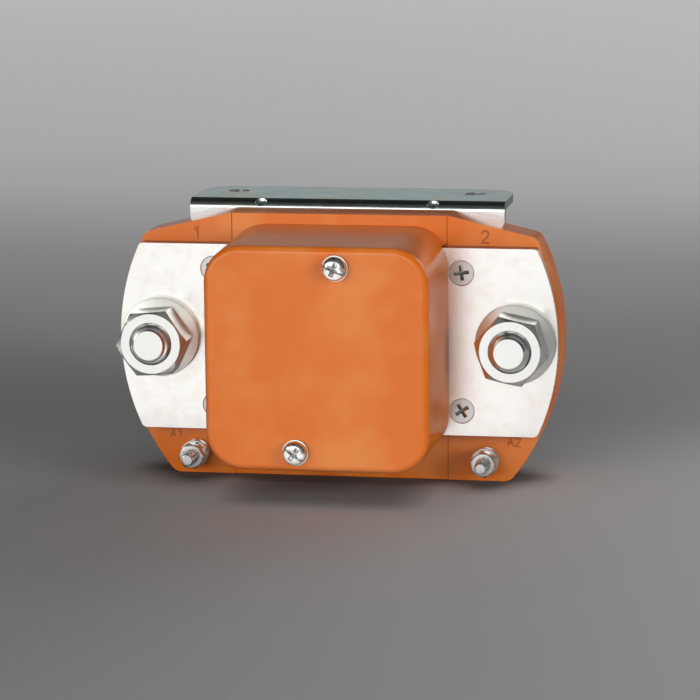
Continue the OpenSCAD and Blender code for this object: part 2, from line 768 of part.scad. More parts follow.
// Folded bracket: leg between head and pole plate, flange over the yoke, two darts pressed into the bend
module mounting_bracket() {
    leg_low = terminal_h - plate_h / 2;
    leg_corner = 2 * bend_r;
    flange_end = leg_y + flange_len;
    in_r = bend_r - bracket_t;
    straight_z = flange_top_z - bend_r;
    straight_y = leg_y + bend_r;
    inside = 4 * dart_r;
    corner = [0, leg_y + bend_r * (1 - sqrt(0.5)), flange_top_z - bend_r * (1 - sqrt(0.5))];
    dart = corner + [0, 1, -1] / sqrt(2) * (dart_depth - dart_r);
    color(zinc) difference() {
        union() {
            slab(leg_y, bracket_t) difference() {
                union() {
                    translate([-bracket_w / 2, leg_low + leg_corner])
                        square([bracket_w, straight_z - leg_low - leg_corner]);
                    translate([-bracket_w / 2 + leg_corner, leg_low])
                        square([bracket_w - 2 * leg_corner, leg_corner + over]);
                    for (s = SIDES) translate([s * (bracket_w / 2 - leg_corner), leg_low + leg_corner])
                        circle(leg_corner);
                }
                translate([0, axis_z]) circle(bumper_d / 2 + 4);
                for (at = cover_screw_at) translate(at) circle(small_screw_d / 2 + hole_gap);
                for (at = head_screw_at) translate(at) circle(head_screw_d / 2 + hole_gap);
            }
            translate([0, 0, head_h]) linear_extrude(bracket_t) union() {
                translate([-bracket_w / 2, straight_y])
                    square([bracket_w, flange_len - bend_r - flange_corner_r]);
                translate([-bracket_w / 2 + flange_corner_r, straight_y])
                    square([bracket_w - 2 * flange_corner_r, flange_len - bend_r]);
                for (s = SIDES)
                    translate([s * (bracket_w / 2 - flange_corner_r), flange_end - flange_corner_r])
                        circle(flange_corner_r);
            }
            translate([-bracket_w / 2, straight_y, straight_z]) rotate([90, 0, 90])
                linear_extrude(bracket_w) intersection() {
                    difference() {
                        circle(bend_r);
                        circle(in_r);
                    }
                    translate([-bend_r, 0]) square(bend_r);
                }
            for (s = SIDES) translate([s * dart_spacing / 2, 0, 0]) intersection() {
                translate(dart) sphere(dart_r + dart_reach - dart_depth);
                translate([-inside, leg_y + bracket_t / 2, head_h + bracket_t / 2 - inside])
                    cube([2 * inside, inside, inside]);
            }
        }
        for (s = SIDES) {
            translate([s * hole_spacing / 2, flange_end - hole_edge, head_h - over])
                cylinder(r = hole_d / 2, h = bracket_t + 2 * over);
            translate(dart + [s * dart_spacing / 2, 0, 0]) sphere(dart_r);
        }
    }
}

// Front pole plate of the magnet
module pole_plate() {
    through = pole_t + 2 * over;
    front = pole_y - over;
    color(zinc) difference() {
        slab(pole_y, pole_t) rounded([0, axis_z], yoke_w, yoke_h, pole_t / 3);
        bar([0, axis_z], front, through, bobbin_bore_r);
        for (at = cover_screw_at) bar(at, front, through, small_screw_d / 2 + seat_gap);
        for (at = head_screw_at) bar(at, front, through, head_screw_d / 2 + seat_gap);
        for (at = yoke_screw_at) {
            bar(at, front, through, small_screw_d / 2 + seat_gap);
            sink(at, pole_y - seat_gap, yoke_screw_head_d + 4 * seat_gap, small_screw_d);
        }
    }
}

// U-shaped yoke, bent from one flat bar with its back standing behind the coil
module yoke_frame() {
    in_r = yoke_t / 3;
    out_r = yoke_t + in_r;
    deep = yoke_depth + over;
    color(zinc) difference() {
        translate([-yoke_w / 2, 0, 0]) rotate([90, 0, 90]) linear_extrude(yoke_w) difference() {
            union() {
                translate([coil_y, 0]) square([yoke_depth + yoke_t - out_r, yoke_h]);
                translate([coil_y, out_r]) square([yoke_depth + yoke_t, yoke_h - 2 * out_r]);
                for (z = [out_r, yoke_h - out_r]) translate([rear_y - out_r, z]) circle(out_r);
            }
            translate([coil_y - over, yoke_t]) square([deep - in_r, yoke_h - 2 * yoke_t]);
            translate([coil_y - over, out_r]) square([deep, yoke_h - 2 * out_r]);
            for (z = [out_r, yoke_h - out_r]) translate([yoke_back_y - in_r, z]) circle(in_r);
        }
        bar([0, axis_z], yoke_back_y - over, yoke_t + 2 * over, bolt_d / 2 + hole_gap);
        for (at = yoke_screw_at)
            bar(at, coil_y - over, yoke_screw_grip + 2 * over, small_screw_d / 2 + seat_gap);
    }
}

// Countersunk screws from the pole plate into the ends of the yoke's arms
module yoke_screws() {
    recess = 0.6 * yoke_screw_head_d;
    color(zinc) for (at = yoke_screw_at) difference() {
        union() {
            sink(at, pole_y, yoke_screw_head_d, small_screw_d);
            bar(at, pole_y, pole_t + yoke_screw_grip, small_screw_d / 2);
        }
        cross_recess(at, pole_y - seat_gap, recess, recess / 2, 15);
    }
}

module coil_bobbin() {
    flange_y = bobbin_y + bobbin_len;
    color(nylon) turned([0, axis_z], [
        [bobbin_bore_r, bobbin_y], [bobbin_flange_r, bobbin_y],
        [bobbin_flange_r, bobbin_y + bobbin_flange_t],
        [bobbin_r, bobbin_y + bobbin_flange_t], [bobbin_r, flange_y - bobbin_flange_t],
        [bobbin_flange_r, flange_y - bobbin_flange_t], [bobbin_flange_r, flange_y],
        [bobbin_bore_r, flange_y]
    ]);
}

// Ring of square section about the magnet's axis
module ring(y, len, in_r, out_r) {
    turned([0, axis_z], [[in_r, y], [out_r, y], [out_r, y + len], [in_r, y + len]]);
}

module coil_winding() {
    color(copper) ring(winding_y, winding_len, bobbin_r + seat_gap, winding_d / 2);
}

module coil_tape() {
    color(dark) ring(winding_y, winding_len, winding_d / 2 + seat_gap, tape_r);
}

// Fixed core on the yoke's back, with a seat for the return spring
module fixed_core() {
    r = core_d / 2;
    y = yoke_back_y - core_len;
    tap = bolt_d / 2 + seat_gap;
    color(steel) turned([0, axis_z], [
        [spring_hole_d / 2, y], [r, y], [r, yoke_back_y], [tap, yoke_back_y], [tap, yoke_back_y - bolt_d],
        [0, yoke_back_y - bolt_d], [0, y + core_hole], [spring_hole_d / 2, y + core_hole]
    ]);
}

// Hexagon bolt through the yoke's back into the core
module core_bolt() {
    y = rear_y + core_washer_t;
    end = y + bolt_head_h;
    corner_r = bolt_af / sqrt(3);
    face_r = 0.475 * bolt_af;
    wide_r = corner_r + over / 2;
    bevel = (wide_r - face_r) * tan(30);
    color(zinc) union() {
        intersection() {
            translate([0, end, axis_z]) rotate([90, 15, 0])
                cylinder(r = corner_r, h = bolt_head_h, $fn = 6);
            turned([0, axis_z], [[0, y], [wide_r, y], [wide_r, end - bevel], [face_r, end], [0, end]]);
        }
        bar([0, axis_z], yoke_back_y - bolt_d + 1, bolt_d - 1 + yoke_t + core_washer_t + over, bolt_d / 2);
    }
}

module core_washer() {
    color(zinc) ring(rear_y, core_washer_t, bolt_d / 2 + hole_gap, core_washer_d / 2);
}

// Plunger with a threaded hole for the shaft in front and a spring seat behind
module plunger() {
    r = core_d / 2;
    thread_r = shaft_d / 2 + seat_gap;
    floor = plunger_end_y - plunger_hole;
    chamfer = 0.8;
    color(steel) turned([0, axis_z], [
        [thread_r, plunger_y], [r - chamfer, plunger_y], [r, plunger_y + chamfer],
        [r, plunger_end_y - chamfer], [r - chamfer, plunger_end_y],
        [spring_hole_d / 2, plunger_end_y], [spring_hole_d / 2, floor], [0, floor],
        [0, shaft_end_y + stand_gap], [thread_r, shaft_end_y + stand_gap]
    ]);
}

// Brass sleeve that guides the plunger inside the bobbin
module plunger_sleeve() {
    y = pole_y + stand_gap;
    end = yoke_back_y - core_len - stand_gap;
    color(brass) ring(y, end - y, sleeve_r, sleeve_r + sleeve_wall);
}

// Open coil spring along the magnet's axis between two depths
module axis_spring(y, end, mean_r, wire_d, turns) {
    steps = 14;
    count = turns * steps;
    rise = (end - y - wire_d) / count;
    sweep([for (i = [0 : count]) [
        mean_r * cos(360 * i / steps), y + wire_d / 2 + rise * i, axis_z + mean_r * sin(360 * i / steps)
    ]], wire_d / 2, 8, [0, 1, 0]);
}

module return_spring() {
    y = plunger_end_y - plunger_hole + seat_gap;
    end = yoke_back_y - core_len + core_hole - seat_gap;
    mean_r = spring_hole_d / 2 - return_wire_d / 2 - stand_gap;
    color(steel) axis_spring(y, end, mean_r, return_wire_d, 7);
}

// Rubber ring that the plunger rests against when open
module bumper_washer() {
    color(dark) ring(back_y, bumper_t, shaft_d / 2 + hole_gap, bumper_d / 2);
}

function guide_bush_r() = shaft_d / 2 + 2.2;

module guide_bush() {
    color(brass) ring(face_y, back_y - face_y, shaft_d / 2 + running_gap, guide_bush_r());
}

// Shaft from the plunger forward through the guide bush, with a collar behind the hub
module drive_shaft() {
    r = shaft_d / 2;
    collar_y = hub_flange_y + hub_flange_t;
    chamfer = 0.6;
    color(silver) turned([0, axis_z], [
        [0, shaft_front_y], [r - chamfer, shaft_front_y], [r, shaft_front_y + chamfer], [r, collar_y],
        [collar_d / 2, collar_y], [collar_d / 2, collar_y + collar_t], [r, collar_y + collar_t],
        [r, shaft_end_y], [0, shaft_end_y]
    ]);
}

// Insulating hub that carries the bridge on the shaft
module bridge_hub() {
    r = shaft_d / 2 + seat_gap;
    y = spring_seat_y + spring_seat_t;
    end = hub_flange_y + hub_flange_t;
    color(nylon) turned([0, axis_z], [
        [r, y], [hub_d / 2, y], [hub_d / 2, hub_flange_y],
        [hub_flange_d / 2, hub_flange_y], [hub_flange_d / 2, end], [r, end]
    ]);
}

// Copper bar that joins the two fixed contacts when the armature is drawn in
module moving_bridge() {
    color(copper) difference() {
        slab(bridge_y, bridge_t) rounded([0, axis_z], bridge_w, bridge_h, 3);
        bar([0, axis_z], bridge_y - over, bridge_t + 2 * over, hub_d / 2 + running_gap);
    }
}

module moving_contacts() {
    color(silver) for (s = SIDES) bar([s * tip_x, axis_z], bridge_y + bridge_t, tip_t, tip_d / 2);
}

module contact_spring() {
    mean_r = hub_d / 2 + contact_wire_d / 2 + stand_gap;
    y = spring_seat_y + spring_seat_t + seat_gap;
    color(steel) axis_spring(y, bridge_y - seat_gap, mean_r, contact_wire_d, 4);
}

module spring_seat() {
    color(zinc) ring(spring_seat_y, spring_seat_t, shaft_d / 2 + seat_gap, spring_seat_d / 2);
}

module shaft_nut() {
    color(zinc) hex_nut([0, axis_z], spring_seat_y, shaft_nut_af, shaft_nut_h, shaft_d, 0);
}

// Insulating tube round the contacts, inside the cover
module arc_liner() {
    len = -stand_gap - liner_y;
    color("#e8e6df") slab(liner_y, len) difference() {
        rounded([0, terminal_h], 2 * liner_x, liner_h, 3);
        rounded([0, terminal_h], 2 * (liner_x - liner_t), liner_h - 2 * liner_t, 2);
    }
}

// Blowout magnets on both sides of the arc liner
module blowout_magnets() {
    color(dark) for (s = SIDES) slab(magnet_y, magnet_len)
        translate([s * (liner_x + seat_gap + magnet_t / 2), axis_z])
            square([magnet_t, magnet_h], center = true);
}

// Steel strip that joins the magnets in front
module blowout_yoke() {
    color(steel) slab(blow_y, blow_t) translate([0, axis_z])
        square([cover_in_w - 2 * seat_gap, blow_w], center = true);
}

seat() head_base();
seat() arc_cover();
seat() terminal_plate_left();
seat() terminal_plate_right();
seat() terminal_stud_left();
seat() terminal_stud_right();
seat() conical_washers();
seat() terminal_nuts();
seat() plate_screws();
seat() fixed_contacts();
seat() coil_studs();
seat() coil_flat_washers();
seat() coil_spring_washers();
seat() coil_nuts();
seat() lead_lugs();
seat() coil_leads();
seat() cover_screws();
seat() cover_spring_washers();
seat() head_screws();
seat() mounting_bracket();
seat() pole_plate();
seat() yoke_frame();
seat() yoke_screws();
seat() coil_bobbin();
seat() coil_winding();
seat() coil_tape();
seat() fixed_core();
seat() core_bolt();
seat() core_washer();
seat() plunger();
seat() plunger_sleeve();
seat() return_spring();
seat() bumper_washer();
seat() guide_bush();
seat() drive_shaft();
seat() bridge_hub();
seat() moving_bridge();
seat() moving_contacts();
seat() contact_spring();
seat() spring_seat();
seat() shaft_nut();
seat() arc_liner();
seat() blowout_magnets();
seat() blowout_yoke();
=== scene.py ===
"""Looks of a high voltage DC contactor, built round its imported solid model."""

import math

import bmesh
import bpy
from bpy.props import FloatProperty, FloatVectorProperty, PointerProperty
from mathutils import Matrix, Vector


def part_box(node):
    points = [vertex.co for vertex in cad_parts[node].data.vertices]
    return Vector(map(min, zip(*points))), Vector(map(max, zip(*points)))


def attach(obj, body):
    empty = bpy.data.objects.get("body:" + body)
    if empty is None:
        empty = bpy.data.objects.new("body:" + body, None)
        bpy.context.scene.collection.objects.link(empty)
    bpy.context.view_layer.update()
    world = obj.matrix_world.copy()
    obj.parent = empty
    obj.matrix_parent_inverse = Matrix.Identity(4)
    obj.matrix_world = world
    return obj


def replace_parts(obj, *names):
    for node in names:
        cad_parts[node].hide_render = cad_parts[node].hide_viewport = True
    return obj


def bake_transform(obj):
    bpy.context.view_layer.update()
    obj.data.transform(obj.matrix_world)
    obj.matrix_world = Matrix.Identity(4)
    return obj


bl_info = {
    "name": "High voltage DC contactor",
    "version": (1, 0, 0),
    "blender": (4, 5, 0),
    "location": "View3D > Sidebar > Contactor",
    "description": "Dresses the solid model of a DC contactor with its finishes, threads, marks and studio",
    "category": "Object",
}

MM = 0.001

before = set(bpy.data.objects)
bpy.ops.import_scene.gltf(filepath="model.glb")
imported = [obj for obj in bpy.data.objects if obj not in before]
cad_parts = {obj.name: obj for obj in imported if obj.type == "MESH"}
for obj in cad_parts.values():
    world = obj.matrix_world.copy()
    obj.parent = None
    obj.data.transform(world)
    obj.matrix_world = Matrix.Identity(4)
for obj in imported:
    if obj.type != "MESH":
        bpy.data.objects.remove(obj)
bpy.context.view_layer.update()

# Planes and lines of the solid model that the other pieces are set out from
FACE_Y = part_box("head_base")[0].y
BACK_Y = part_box("head_base")[1].y
PLATE_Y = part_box("terminal_plate_left")[0].y
TERMINAL_X = sum(corner.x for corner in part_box("terminal_stud_right")) / 2
TERMINAL_Z = sum(corner.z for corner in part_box("terminal_stud_right")) / 2
# Half the width across corners of the coil studs' hexagon heads, 7 mm across flats
COIL_HEAD_CORNER = 3.5 * MM / math.cos(math.pi / 6)
COIL_STUD_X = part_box("coil_studs")[1].x - COIL_HEAD_CORNER
COIL_STUD_Z = sum(corner.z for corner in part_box("coil_studs")) / 2


def linear(hex_colour):
    """An sRGB hex colour as linear red, green and blue."""
    channels = [int(hex_colour[i : i + 2], 16) / 255 for i in (1, 3, 5)]
    return tuple(c / 12.92 if c <= 0.04045 else ((c + 0.055) / 1.055) ** 2.4 for c in channels)


def size(label, words, millimetres):
    """A length that a user can change, with its default in millimetres."""
    return FloatProperty(name=label, description=words, default=millimetres * MM, min=0, unit="LENGTH")


def colour(label, words, hex_colour):
    """A colour that a user can change, with its default as sRGB hex."""
    return FloatVectorProperty(
        name=label, description=words, default=linear(hex_colour), subtype="COLOR", min=0, max=1
    )


class CONTACTOR_PG_sizes(bpy.types.PropertyGroup):
    """Edge roundings, threads, spring wires and marks"""

    moulding_edge: size("Moulding edge", "Rounding of the mouldings' edges", 0.45)
    plate_edge: size("Plate edge", "Rounding of the terminal plates' edges", 0.4)
    sheet_edge: size("Sheet edge", "Rounding of the bracket's and yoke's edges", 0.3)
    hardware_edge: size("Hardware edge", "Rounding of nuts, washers and screws", 0.15)
    main_thread: size("Main thread", "Pitch of the main studs", 1.5)
    coil_thread: size("Coil thread", "Pitch of the coil studs", 0.7)
    return_wire: size("Return spring wire", "Diameter of the return spring's wire", 1.2)
    contact_wire: size("Contact spring wire", "Diameter of the contact spring's wire", 1.4)
    mark_height: size("Mark height", "Height of the terminal marks", 3.7)
    mark_stroke: size("Mark stroke", "Width of the marks' strokes", 0.55)


class CONTACTOR_PG_colours(bpy.types.PropertyGroup):
    """Colours of the finishes"""

    moulding: colour("Moulding", "Orange polyester moulding", "#d66a14")
    moulding_cloud: colour("Moulding clouds", "Paler clouds in the moulding", "#dd8742")
    # Painted shade: the marks are flat strokes on the face, darkened in place of the shade on the floor of
    # engraved strokes
    mark: colour("Marks", "Strokes of the terminal marks", "#a5501c")
    nickel: colour("Nickel", "Plated terminal plates", "#f6f4f0")
    nickel_stain: colour("Nickel stains", "Faint warm stains on the terminal plates", "#f0e9e3")
    # Painted shade on the terminal plates' upper and lower edges, a darker copy of the plating
    painted_edge_shade: colour("Painted edge shade", "Upper and lower edges of the terminal plates", "#7a5238")
    zinc: colour("Zinc", "Plated fasteners", "#e9e9e6")
    # Painted highlight: the bracket's front faces get this near-white in place of the film, as lit by the
    # front light
    sheet: colour("Sheet zinc", "Bracket seen from the front", "#eef0ee")
    sheet_film: colour("Sheet film", "Blue-green film on the bracket's top", "#bcdcdc")
    sheet_straw: colour("Sheet straw", "Straw patches of that film", "#d3d6a8")
    iron: colour("Soft iron", "Plated magnet parts", "#bcc0c0")
    tape: colour("Coil tape", "Polyester tape round the coil", "#1c1d20")
    backdrop: colour("Backdrop", "Grey paper behind and below", "#9c9c9c")
    # Painted light: the paper is paler on its right near the part, standing in for light that falls there
    backdrop_painted_light: colour("Backdrop painted light", "The paper's paler right side", "#dcdcdc")


def add(tree, kind, settings=None, **inputs):
    """Adds a node with its settings, and sets or links its inputs.

    An input is named with _ for a space, or as _ and its number where several share a name.
    """
    node = tree.nodes.new(kind)
    for key, value in (settings or {}).items():
        setattr(node, key, value)
    for key, value in inputs.items():
        socket = node.inputs[int(key[1:]) if key[1:].isdigit() else key.replace("_", " ")]
        if isinstance(value, bpy.types.NodeSocket):
            tree.links.new(value, socket)
        else:
            socket.default_value = value
    return node


def shader(name, **inputs):
    """A new material with a principled shader, and that shader."""
    material = bpy.data.materials.new(name)
    material.use_nodes = True
    surface = material.node_tree.nodes["Principled BSDF"]
    for key, value in inputs.items():
        socket = surface.inputs[key.replace("_", " ")]
        if isinstance(socket.default_value, float):
            socket.default_value = value
        else:
            socket.default_value = (*value, 1) if len(value) == 3 else value
    return material, surface


def polyester_moulding():
    """Glass-filled polyester, compression moulded: a satin skin over one colour with faint paler clouds."""
    tones = bpy.context.scene.contactor_colours
    material, surface = shader("Polyester moulding", IOR=1.52)
    tree = material.node_tree
    place = add(tree, "ShaderNodeTexCoord").outputs["Object"]
    clouds = add(tree, "ShaderNodeTexNoise", Vector=place, Scale=1 / (20 * MM), Detail=3.0).outputs["Fac"]
    paler = add(tree, "ShaderNodeMapRange", Value=clouds, From_Min=0.42, From_Max=0.8)
    tone = add(
        tree,
        "ShaderNodeMix",
        {"data_type": "RGBA"},
        _0=paler.outputs["Result"],
        _6=(*tones.moulding, 1),
        _7=(*tones.moulding_cloud, 1),
    )
    tree.links.new(tone.outputs[2], surface.inputs["Base Color"])
    sheen = add(tree, "ShaderNodeMapRange", Value=clouds, To_Min=0.2, To_Max=0.3)
    tree.links.new(sheen.outputs["Result"], surface.inputs["Roughness"])
    return material


def engraved_mark():
    """Shaded floor of the engraved marks: the moulding's colour, darker and dull."""
    tones = bpy.context.scene.contactor_colours
    return shader("Engraved mark", Base_Color=tones.mark, Roughness=0.6)[0]


def nickel_plate():
    """Nickel over rolled copper: a broad white sheen and faint warm stains; faces that look up or down are
    painted darker, a painted shade along the plates' upper and lower edges.
    """
    tones = bpy.context.scene.contactor_colours
    material, surface = shader("Nickel plate", Metallic=1.0, Roughness=0.27)
    tree = material.node_tree
    # Faces that look up or down are painted darker: a painted shade along the plates' upper and lower edges
    facing = add(tree, "ShaderNodeNewGeometry").outputs["Normal"]
    upward = add(tree, "ShaderNodeSeparateXYZ", Vector=facing).outputs["Z"]
    level = add(tree, "ShaderNodeMath", {"operation": "ABSOLUTE"}, _0=upward).outputs["Value"]
    painted_edge_shade = add(tree, "ShaderNodeMapRange", Value=level, From_Min=0.6, From_Max=0.9)
    place = add(tree, "ShaderNodeTexCoord").outputs["Object"]
    stains = add(tree, "ShaderNodeTexNoise", Vector=place, Scale=1 / (4 * MM), Detail=5.0, Roughness=0.65)
    stained = add(tree, "ShaderNodeMapRange", Value=stains.outputs["Fac"], From_Min=0.45, From_Max=0.75)
    plating = add(
        tree,
        "ShaderNodeMix",
        {"data_type": "RGBA"},
        _0=stained.outputs["Result"],
        _6=(*tones.nickel, 1),
        _7=(*tones.nickel_stain, 1),
    )
    tone = add(
        tree,
        "ShaderNodeMix",
        {"data_type": "RGBA"},
        _0=painted_edge_shade.outputs["Result"],
        _6=plating.outputs[2],
        _7=(*tones.painted_edge_shade, 1),
    )
    tree.links.new(tone.outputs[2], surface.inputs["Base Color"])
    return material


def zinc_hardware():
    """Zinc-plated cold-formed steel: bright, with soft smears of gloss."""
    tones = bpy.context.scene.contactor_colours
    material, surface = shader("Zinc hardware", Base_Color=tones.zinc, Metallic=1.0)
    tree = material.node_tree
    place = add(tree, "ShaderNodeTexCoord").outputs["Object"]
    smears = add(tree, "ShaderNodeTexNoise", Vector=place, Scale=1 / (2 * MM), Detail=3.0).outputs["Fac"]
    sheen = add(tree, "ShaderNodeMapRange", Value=smears, To_Min=0.18, To_Max=0.3)
    tree.links.new(sheen.outputs["Result"], surface.inputs["Roughness"])
    return material


def passivated_sheet():
    """Zinc-plated sheet, clear passivated, with a blue-green film and straw patches; faces that look forward
    are painted white as lit, a painted highlight, and only faces that look up show the film.
    """
    tones = bpy.context.scene.contactor_colours
    material, surface = shader("Passivated sheet", Metallic=1.0)
    tree = material.node_tree
    place = add(tree, "ShaderNodeTexCoord").outputs["Object"]
    patches = add(tree, "ShaderNodeTexNoise", Vector=place, Scale=1 / (22 * MM), Detail=2.0).outputs["Fac"]
    straw = add(tree, "ShaderNodeMapRange", Value=patches, From_Min=0.5, From_Max=0.7)
    film = add(
        tree,
        "ShaderNodeMix",
        {"data_type": "RGBA"},
        _0=straw.outputs["Result"],
        _6=(*tones.sheet_film, 1),
        _7=(*tones.sheet_straw, 1),
    )
    # Faces that look forward are painted white as lit, a painted highlight; the film's tint shows only on
    # faces that look up
    facing = add(tree, "ShaderNodeNewGeometry").outputs["Normal"]
    upward = add(tree, "ShaderNodeSeparateXYZ", Vector=facing).outputs["Z"]
    tone = add(
        tree,
        "ShaderNodeMix",
        {"data_type": "RGBA"},
        _0=upward,
        _6=(*tones.sheet, 1),
        _7=film.outputs[2],
    )
    tree.links.new(tone.outputs[2], surface.inputs["Base Color"])
    smears = add(tree, "ShaderNodeTexNoise", Vector=place, Scale=1 / (5 * MM), Detail=3.0).outputs["Fac"]
    sheen = add(tree, "ShaderNodeMapRange", Value=smears, To_Min=0.16, To_Max=0.28)
    tree.links.new(sheen.outputs["Result"], surface.inputs["Roughness"])
    return material


def plated_iron():
    """Zinc-plated soft iron bar: duller than the sheet, with faint mill lines."""
    tones = bpy.context.scene.contactor_colours
    material, surface = shader("Plated iron", Base_Color=tones.iron, Metallic=1.0)
    tree = material.node_tree
    place = add(tree, "ShaderNodeTexCoord").outputs["Object"]
    # Mill lines run along the coil; they are drawn 1.5 mm apart, coarser than real ones, to show
    along = add(tree, "ShaderNodeMapping", Vector=place, Scale=(1, 0.05, 1)).outputs["Vector"]
    lines = add(tree, "ShaderNodeTexNoise", Vector=along, Scale=1 / (1.5 * MM), Detail=3.0).outputs["Fac"]
    sheen = add(tree, "ShaderNodeMapRange", Value=lines, To_Min=0.28, To_Max=0.46)
    tree.links.new(sheen.outputs["Result"], surface.inputs["Roughness"])
    return material


def coil_tape():
    """Polyester film tape, wound in laps: dark, with the laps' edges showing as fine rings."""
    tones = bpy.context.scene.contactor_colours
    material, surface = shader("Coil tape", Base_Color=tones.tape, Roughness=0.42)
    tree = material.node_tree
    place = add(tree, "ShaderNodeTexCoord").outputs["Object"]
    # One lap edge every 9 mm along the coil; the node counts 20 radians to a unit of length
    lap = 9 * MM
    laps = add(
        tree,
        "ShaderNodeTexWave",
        {"bands_direction": "Y", "wave_profile": "SAW"},
        Vector=place,
        Scale=2 * math.pi / (20 * lap),
        Distortion=0.3,
    ).outputs["Fac"]
    raised = add(tree, "ShaderNodeBump", Height=laps, Distance=0.4 * MM, Strength=1.0)
    tree.links.new(raised.outputs["Normal"], surface.inputs["Normal"])
    return material


# Finishes with one colour and one gloss all over
PLAIN = {
    # Drawn copper: a salmon red with a soft gloss
    "copper": dict(Base_Color=linear("#c47a52"), Metallic=1.0, Roughness=0.3),
    # Turned brass: a clear yellow gloss
    "brass": dict(Base_Color=linear("#c9a653"), Metallic=1.0, Roughness=0.25),
    # Cold-headed steel with a thin plating: greyer than the plates round it
    "steel screw": dict(Base_Color=linear("#cbcbc8"), Metallic=1.0, Roughness=0.25),
    # Barrel-plated spring steel: a pale, even sheen without a sharp mirror
    "dull zinc": dict(Base_Color=linear("#f4f4ec"), Metallic=1.0, Roughness=0.42),
    # Coined silver contact alloy: pale, with a soft gloss
    "silver alloy": dict(Base_Color=linear("#e4e4e2"), Metallic=1.0, Roughness=0.25),
    # Ground or drawn steel: a mid grey with a blurred mirror
    "ground steel": dict(Base_Color=linear("#a9abad"), Metallic=1.0, Roughness=0.28),
    # Moulded nylon without pigment: ivory satin that lets a little light in
    "natural nylon": dict(Base_Color=linear("#e4dcc4"), Roughness=0.45, Subsurface_Weight=0.1),
    # Pressed fibre board: off-white and matt
    "liner board": dict(Base_Color=linear("#dedbd0"), Roughness=0.7),
    # Moulded rubber: nearly black and matt
    "black rubber": dict(Base_Color=linear("#232425"), Roughness=0.65),
    # Sintered ferrite: charcoal with a slight sheen
    "ferrite": dict(Base_Color=linear("#333436"), Roughness=0.5),
    # Extruded silicone sleeving: a dull brick red with a soft gloss
    "silicone sleeve": dict(Base_Color=linear("#a3241c"), Roughness=0.42),
}

# Finishes with a pattern or with colours that a user can change, each by its own function
MADE = {
    "polyester moulding": polyester_moulding,
    "engraved mark": engraved_mark,
    "nickel plate": nickel_plate,
    "zinc hardware": zinc_hardware,
    "passivated sheet": passivated_sheet,
    "plated iron": plated_iron,
    "coil tape": coil_tape,
}


def finish(name):
    """The named finish, made the first time that it is asked for."""
    label = name.capitalize()
    if label in bpy.data.materials:
        return bpy.data.materials[label]
    return MADE[name]() if name in MADE else shader(label, **PLAIN[name])[0]


def dress(names, finish_name, edge=0.0, segments=2, merge_flats=True):
    """Gives solid-model nodes a finish, and rounds their sharp edges.

    Flats with several holes are left unmerged, because the rounding would turn them over.
    """
    for name in names:
        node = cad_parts[name]
        node.data.materials.clear()
        node.data.materials.append(finish(finish_name))
        node.data.shade_smooth()
        weld = node.modifiers.new("Weld", "WELD")
        weld.merge_threshold = 1e-6
        if merge_flats:
            flat = node.modifiers.new("Flat faces", "DECIMATE")
            flat.decimate_type = "DISSOLVE"
            flat.angle_limit = math.radians(0.3)
        if edge:
            rounding = node.modifiers.new("Edges", "BEVEL")
            rounding.width = edge
            rounding.segments = segments
            rounding.limit_method = "ANGLE"
            rounding.angle_limit = math.radians(28)
        node.modifiers.new("Shading", "WEIGHTED_NORMAL").keep_sharp = True


def new_piece(name, bm, finish_name, body="housing", crease=35):
    """A mesh object that rides on a body, if one is named, shaded smooth up to a crease angle in degrees."""
    bmesh.ops.recalc_face_normals(bm, faces=bm.faces)
    mesh = bpy.data.meshes.new(name)
    bm.to_mesh(mesh)
    bm.free()
    piece = bpy.data.objects.new(name, mesh)
    bpy.context.scene.collection.objects.link(piece)
    mesh.materials.append(finish(finish_name))
    mesh.shade_smooth()
    mesh.set_sharp_from_angle(angle=math.radians(crease))
    if body:
        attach(piece, body)
    return piece


def join_rings(bm, rings):
    """Faces between rings of points, closed over the first and the last."""
    for first, second in zip(rings, rings[1:]):
        for k in range(len(first)):
            j = (k + 1) % len(first)
            bm.faces.new((first[k], first[j], second[j], second[k]))
    bm.faces.new(rings[0][::-1])
    bm.faces.new(rings[-1])


def turned(bm, x, z, profile, around=64, sunk=None):
    """Solid of revolution about a line along Y from (radius, y) points; sunk deepens points of its face."""
    rings = []
    for radius, y in profile:
        ring = []
        for k in range(around):
            u = radius * math.cos(2 * math.pi * k / around)
            v = radius * math.sin(2 * math.pi * k / around)
            ring.append(bm.verts.new((x + u, y + (sunk(u, v, y) if sunk else 0), z + v)))
        rings.append(ring)
    join_rings(bm, rings)


def threaded_rod(bm, x, z, tip, back, radius, tip_radius, pitch, thread_length):
    """Rod along Y with a cut thread that runs out over the chamfer of its tip."""
    around = 96
    rings_per_pitch = 12
    chamfer_slope = 0.6
    full_depth = 0.55 * pitch
    run_in = 0.4 * pitch
    # Above 1 this leaves a flat crest between the grooves
    flank = 1.35
    step = pitch / rings_per_pitch
    steps = [i * step for i in range(int(thread_length / pitch * rings_per_pitch) + 1)]
    rings = []
    for along in steps + [thread_length + step, back - tip]:
        blank = min(radius, tip_radius + chamfer_slope * along)
        depth = full_depth * min(1, along / run_in) if along <= thread_length else 0
        ring = []
        for k in range(around):
            turn = k / around
            phase = (along / pitch + turn) % 1
            r = blank - depth * max(0, 1 - flank * (1 - abs(2 * phase - 1)))
            angle = 2 * math.pi * turn
            ring.append(bm.verts.new((x + r * math.cos(angle), tip + along, z + r * math.sin(angle))))
        rings.append(ring)
    join_rings(bm, rings)


